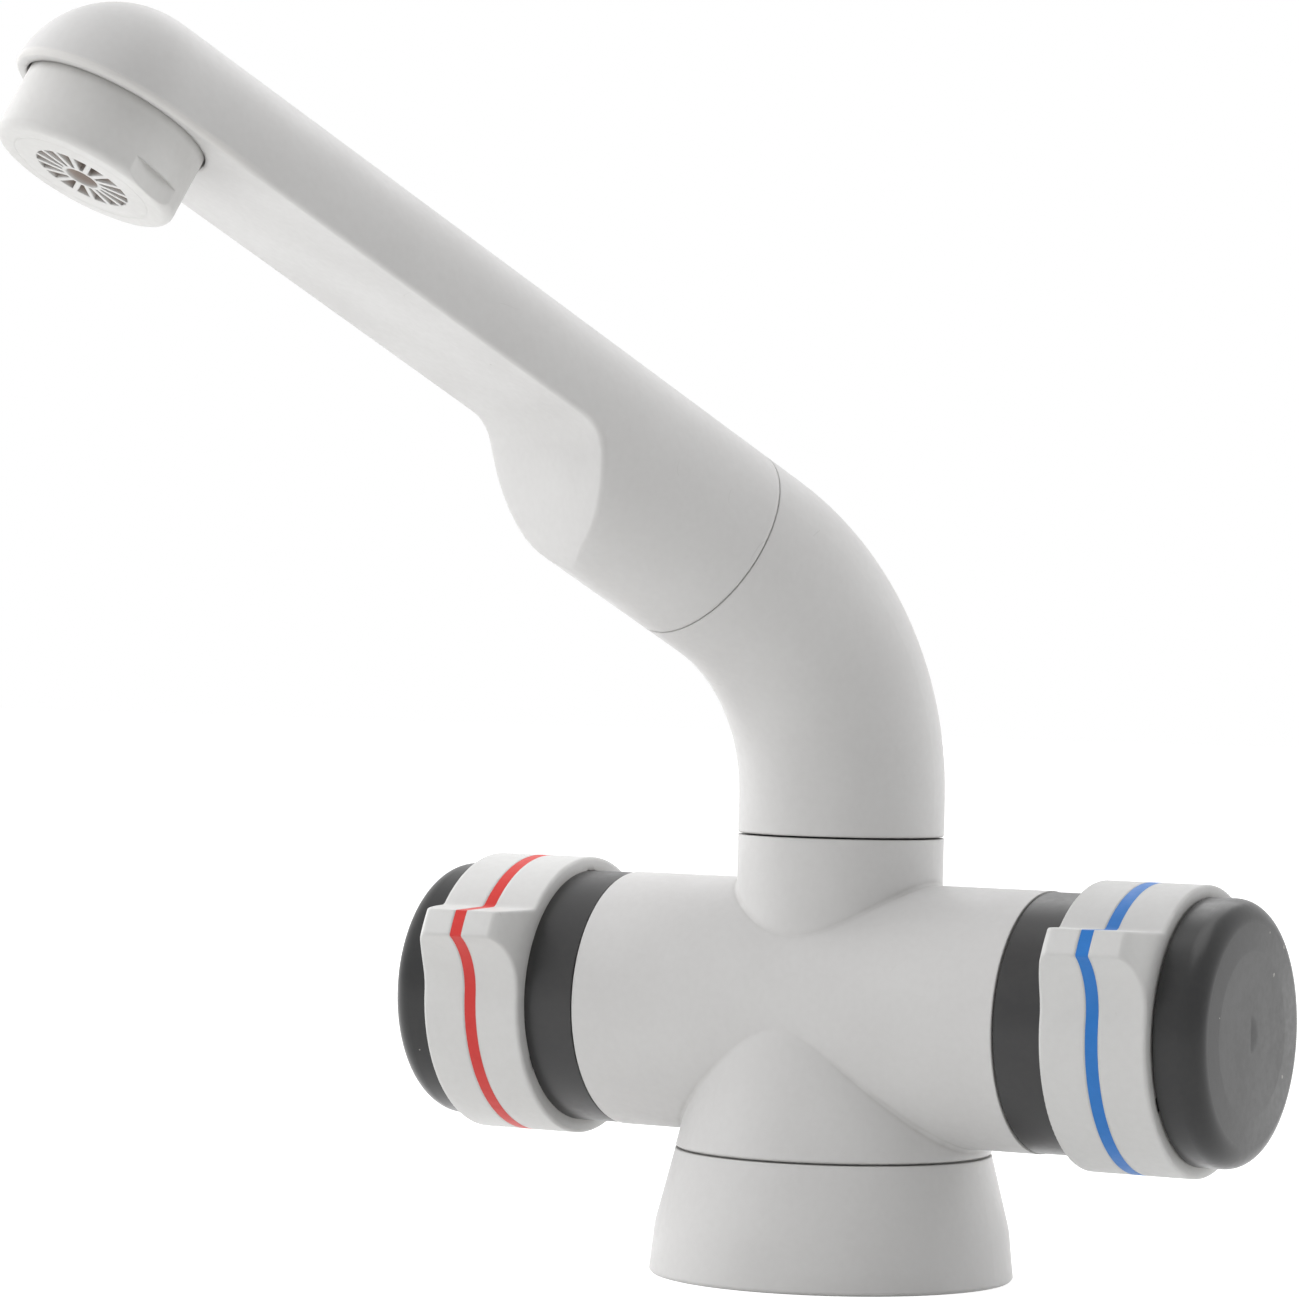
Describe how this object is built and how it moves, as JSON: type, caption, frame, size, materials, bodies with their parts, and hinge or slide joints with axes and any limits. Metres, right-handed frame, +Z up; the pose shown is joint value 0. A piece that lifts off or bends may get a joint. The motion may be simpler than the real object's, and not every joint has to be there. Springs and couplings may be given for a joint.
{
  "type": "single-hole mixer tap",
  "caption": "Low mixer tap with a crosswise barrel, a ring knob with a thumb nose at each end, and a rising spout that swivels over a flared round base.",
  "frame": {"origin": "centre of the round base, on the worktop", "axes": "+Z up out of the worktop, +X along the barrel to the cold knob, -Y to the front"},
  "size_m": [0.1406, 0.1637, 0.1853],
  "materials": {
    "grey_plastic": "satin",
    "light_plastic": "satin",
    "black_plastic": "satin",
    "red_plastic": "satin",
    "blue_plastic": "satin",
    "black_rubber": "matte",
    "ceramic": "polished",
    "brass": "machined",
    "steel": "satin"
  },
  "bodies": {
    "tap_body": {"body_shell": "grey_plastic", "base_rosette": "grey_plastic", "base_seal": "black_rubber", "valve_block": "brass", "fixing_insert": "brass", "spout_socket": "black_plastic", "spout_socket_seal": "black_rubber", "glide_washer": "black_plastic", "hot_inlet_tail": "brass", "hot_inlet_seal": "black_rubber", "hot_valve_seal": "black_rubber", "hot_fixed_disc": "ceramic", "hot_valve_housing": "black_plastic", "hot_valve_nut": "brass", "cold_inlet_tail": "brass", "cold_inlet_seal": "black_rubber", "cold_valve_seal": "black_rubber", "cold_fixed_disc": "ceramic", "cold_valve_housing": "black_plastic", "cold_valve_nut": "brass"},
    "hot_knob": {"hot_turning_disc": "ceramic", "hot_spindle": "brass", "hot_knob_hub": "black_plastic", "hot_grip_ring": "light_plastic", "hot_stripe": "red_plastic", "hot_end_cap": "black_plastic", "hot_knob_screw": "steel"},
    "cold_knob": {"cold_turning_disc": "ceramic", "cold_spindle": "brass", "cold_knob_hub": "black_plastic", "cold_grip_ring": "light_plastic", "cold_stripe": "blue_plastic", "cold_end_cap": "black_plastic", "cold_knob_screw": "steel"},
    "spout": {"spout_elbow": "grey_plastic", "swivel_seals": "black_rubber", "swivel_clip": "steel", "spout_arm": "grey_plastic", "arm_seal": "black_rubber", "aerator_housing": "light_plastic", "aerator_insert": "black_plastic", "aerator_mesh": "steel", "aerator_washer": "black_rubber"}
  },
  "joints": [
    {"name": "hot_knob_turn", "type": "hinge", "parent": "tap_body", "child": "hot_knob", "pos_m": [-0.0534, 0, 0.0411], "axis": [-1, 0, 0], "range_deg": [0, 90]},
    {"name": "cold_knob_turn", "type": "hinge", "parent": "tap_body", "child": "cold_knob", "pos_m": [0.0534, 0, 0.0411], "axis": [-1, 0, 0], "range_deg": [0, 90]},
    {"name": "spout_swivel", "type": "hinge", "parent": "tap_body", "child": "spout", "pos_m": [0, 0, 0.0684], "axis": [0, 0, 1], "continuous": true}
  ]
}
